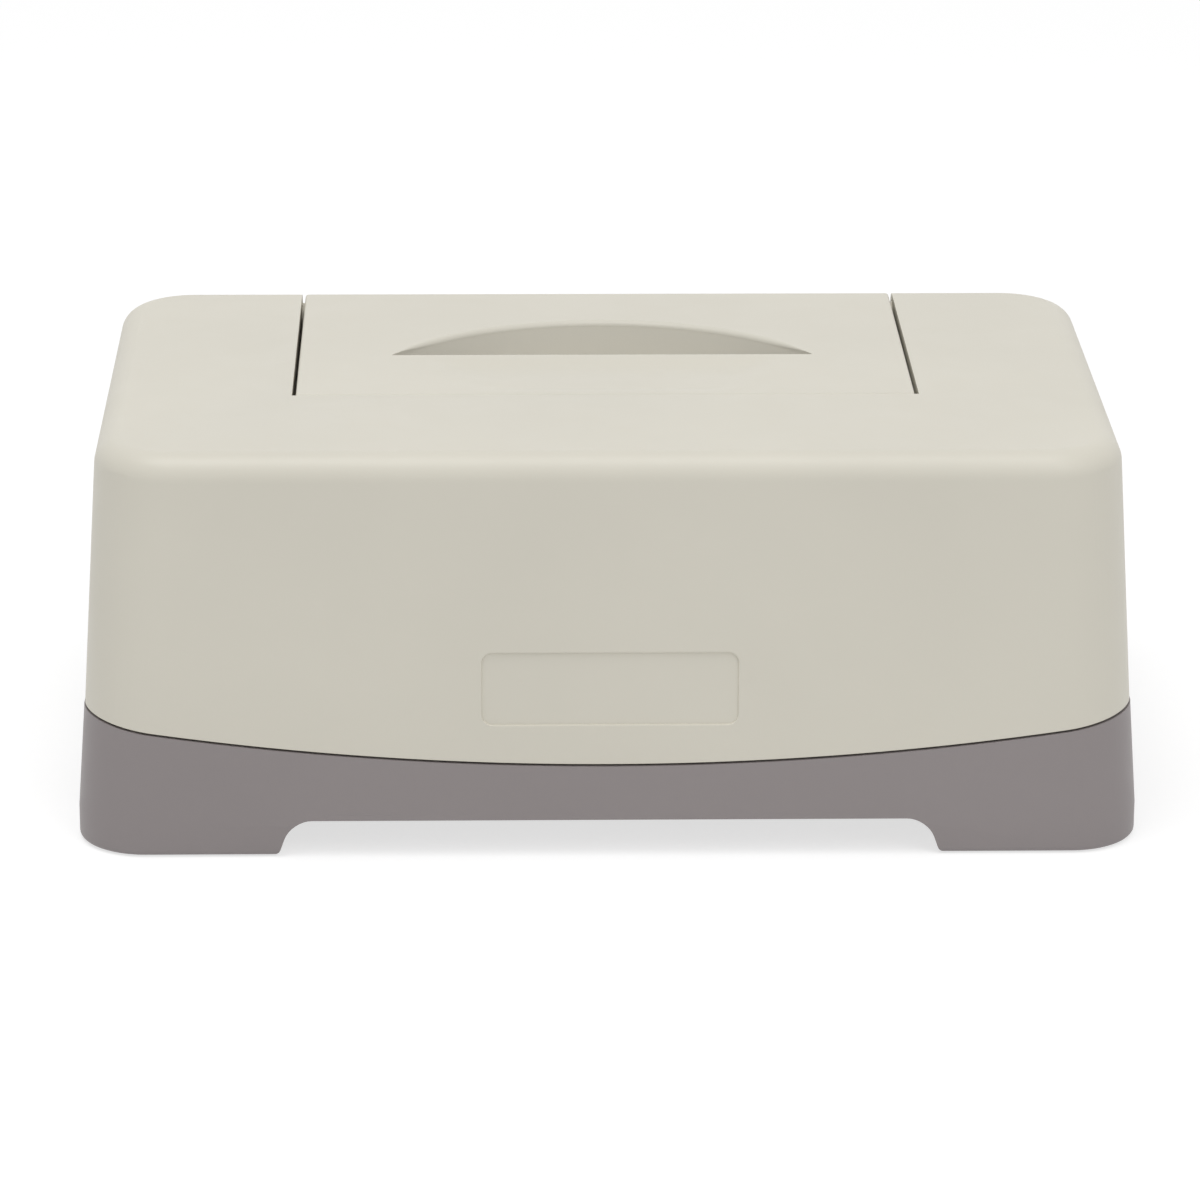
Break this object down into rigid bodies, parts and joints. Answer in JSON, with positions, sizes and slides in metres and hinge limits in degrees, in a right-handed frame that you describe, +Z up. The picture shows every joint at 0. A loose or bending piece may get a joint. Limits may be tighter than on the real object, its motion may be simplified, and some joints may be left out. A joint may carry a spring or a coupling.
{
  "type": "baby wipes box",
  "caption": "Rounded dispensing box for wipes: hinged lid with a half-moon finger pocket, lift-off upper shell, weighted press plate inside and a base on corner feet.",
  "frame": {"origin": "on the ground under the middle of the box", "axes": "+X to the right along the length, -Y to the front, +Z up"},
  "size_m": [0.26, 0.16, 0.1],
  "materials": {
    "shell_plastic": "satin",
    "base_plastic": "satin",
    "liner_plastic": "satin",
    "gasket_silicone": "matte",
    "plate_plastic": "satin",
    "pin_steel": "ground",
    "ballast_steel": "zinc plated",
    "foot_rubber": "matte"
  },
  "bodies": {
    "base": {"base_tray": "base_plastic", "foot_pad_front_left": "foot_rubber", "foot_pad_front_right": "foot_rubber", "foot_pad_rear_left": "foot_rubber", "foot_pad_rear_right": "foot_rubber"},
    "shell": {"outer_shell": "shell_plastic", "hinge_pin_left": "pin_steel", "hinge_pin_right": "pin_steel"},
    "lid": {"lid_panel": "shell_plastic", "lid_liner": "liner_plastic", "lid_gasket": "gasket_silicone"},
    "press_plate": {"plate_bottom": "plate_plastic", "plate_top": "plate_plastic", "ballast_left": "ballast_steel", "ballast_right": "ballast_steel"}
  },
  "joints": [
    {"name": "shell_lift", "type": "slide", "parent": "base", "child": "shell", "axis": [0, 0, 1], "range_m": [0, 0.12]},
    {"name": "lid_hinge", "type": "hinge", "parent": "shell", "child": "lid", "pos_m": [0, 0.0682, 0.0936], "axis": [-1, 0, 0], "range_deg": [0, 105]},
    {"name": "plate_rise", "type": "slide", "parent": "base", "child": "press_plate", "axis": [0, 0, 1], "range_m": [0, 0.055]}
  ]
}
